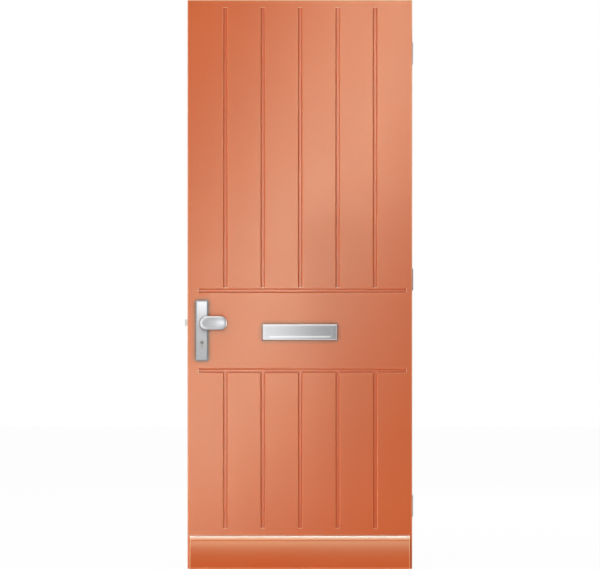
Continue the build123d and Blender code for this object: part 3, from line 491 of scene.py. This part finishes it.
def direction(azimuth, elevation):
    """The direction at two angles, from straight in front of the leaf."""
    turn = math.radians(azimuth)
    rise = math.radians(elevation)
    level = math.cos(rise)
    return Vector((math.sin(turn) * level, -math.cos(turn) * level, math.sin(rise)))


def hang(lamp):
    """The lamp put into the scene."""
    data = bpy.data.lights.new(lamp.name, "AREA")
    data.shape = "RECTANGLE"
    data.size = lamp.width
    data.size_y = lamp.height
    data.color = lamp.tint
    data.energy = lamp.radiance * math.pi * lamp.width * lamp.height
    hung = bpy.data.objects.new(lamp.name, data)
    offset = lamp.distance * direction(lamp.azimuth, lamp.elevation)
    hung.location = lamp.target + offset
    hung.rotation_mode = "QUATERNION"
    hung.rotation_quaternion = Quaternion(-offset, lamp.lean) @ (-offset).to_track_quat("-Z", "Y")
    hung.visible_camera = False
    hung.visible_diffuse = "diffuse" in lamp.rays
    hung.visible_glossy = "glossy" in lamp.rays
    if lamp.lit:
        hung.light_linking.receiver_collection = lamp.lit
    if lamp.shading:
        hung.light_linking.blocker_collection = lamp.shading
    scene.collection.objects.link(hung)


leaf_pieces = [name for name in nodes if slot_of[name] == "orange_paint" and name != "weatherboard"]
leaf_group = group_of("leaf_paint", leaf_pieces)
paint_group = group_of("all_paint", leaf_pieces + ["weatherboard"])
face_group = group_of("face", ["outer_skin"])
board_group = group_of("board", ["weatherboard"])
plate_group = group_of("plate", ["outer_backplate", "cylinder_body", "outer_plug"])
knob_group = group_of("knob", ["outer_knob"])
letter_group = group_of("letter", letter_pieces)

# What the lamps face
leaf_middle = Vector((0, leaf_low.y, leaf_height / 2))
sheen_point = Vector((
    (SHEEN_X_PX - LEAF_CENTRE_PX) * metres_per_px,
    leaf_low.y,
    leaf_height - SHEEN_Y_PX * metres_per_px,
))
BOARD_MIDDLE = Vector((0, -0.07, 0.1))
PLATE_MIDDLE = Vector((-0.39, -0.05, 0.99))
LETTER_MIDDLE = Vector((0, -0.037, 0.98))

lamps = [
    Lamp(
        "key", leaf_middle, azimuth=-15, elevation=18, distance=20.0,
        width=2.5, height=2.5, radiance=46.0, rays=DIFFUSE,
    ),
    Lamp(
        "side", leaf_middle, azimuth=-72, elevation=0, distance=20.0,
        width=5.0, height=5.0, radiance=22.0, rays=DIFFUSE, shading=leaf_group,
    ),
    Lamp(
        "low", leaf_middle, azimuth=0, elevation=-72, distance=20.0,
        width=5.0, height=5.0, radiance=13.0, rays=DIFFUSE, lit=paint_group, shading=leaf_group,
    ),
    Lamp(
        "left_sheen", leaf_middle, azimuth=-52, elevation=0, distance=20.0,
        width=9.0, height=9.0, radiance=7.0, rays=GLOSS, lit=face_group,
    ),
    Lamp(
        "back", leaf_middle, azimuth=150, elevation=20, distance=12.0,
        width=3.0, height=3.0, radiance=17.0,
    ),
    Lamp(
        "sheen", sheen_point, azimuth=0, elevation=0, distance=2.0,
        width=0.15, height=3.8, radiance=70.0, rays=GLOSS, lit=face_group,
        lean=math.atan(SHEEN_LEAN_SHARE), tint=(0.62, 1.0, 0.84),
    ),
    Lamp(
        "board_top", BOARD_MIDDLE, azimuth=0, elevation=90, distance=2.0,
        width=2.2, height=0.5, radiance=140.0, rays=GLOSS, lit=board_group, tint=(0.55, 1.0, 0.97),
    ),
    Lamp(
        "board_face", BOARD_MIDDLE, azimuth=0, elevation=50, distance=2.0,
        width=2.2, height=0.5, radiance=42.0, rays=GLOSS, lit=board_group, tint=(1.0, 1.0, 0.62),
    ),
]

# Lamps close to the metal fittings: name, target, azimuth, elevation, side, radiance, group lit
FITTING_LAMP_DISTANCE = 0.6
FITTING_LAMP_SIDE = 0.36
WIDE_LAMP_SIDE = 0.6
fitting_lamps = [
    ("plate_top", PLATE_MIDDLE, 0, 30, FITTING_LAMP_SIDE, 4.5, plate_group),
    ("knob_left", PLATE_MIDDLE, -22, 0, FITTING_LAMP_SIDE, 2.5, knob_group),
    ("knob_top", PLATE_MIDDLE, 0, 60, FITTING_LAMP_SIDE, 3.0, knob_group),
    ("knob_right", PLATE_MIDDLE, 85, 0, FITTING_LAMP_SIDE, 5.0, knob_group),
    ("letter_upper_left", LETTER_MIDDLE, -45, 45, FITTING_LAMP_SIDE, 1.0, letter_group),
    ("letter_left", LETTER_MIDDLE, -36, 0, WIDE_LAMP_SIDE, 0.25, letter_group),
    ("letter_top", LETTER_MIDDLE, 0, 60, FITTING_LAMP_SIDE, 1.2, letter_group),
    ("letter_low", LETTER_MIDDLE, -20, -35, FITTING_LAMP_SIDE, 0.4, letter_group),
]
for name, target, azimuth, elevation, side, radiance, lit in fitting_lamps:
    lamps.append(Lamp(
        name, target, azimuth, elevation, FITTING_LAMP_DISTANCE, side, side, radiance, GLOSS, lit
    ))

for lamp in lamps:
    hang(lamp)

scene.view_settings.view_transform = "Standard"
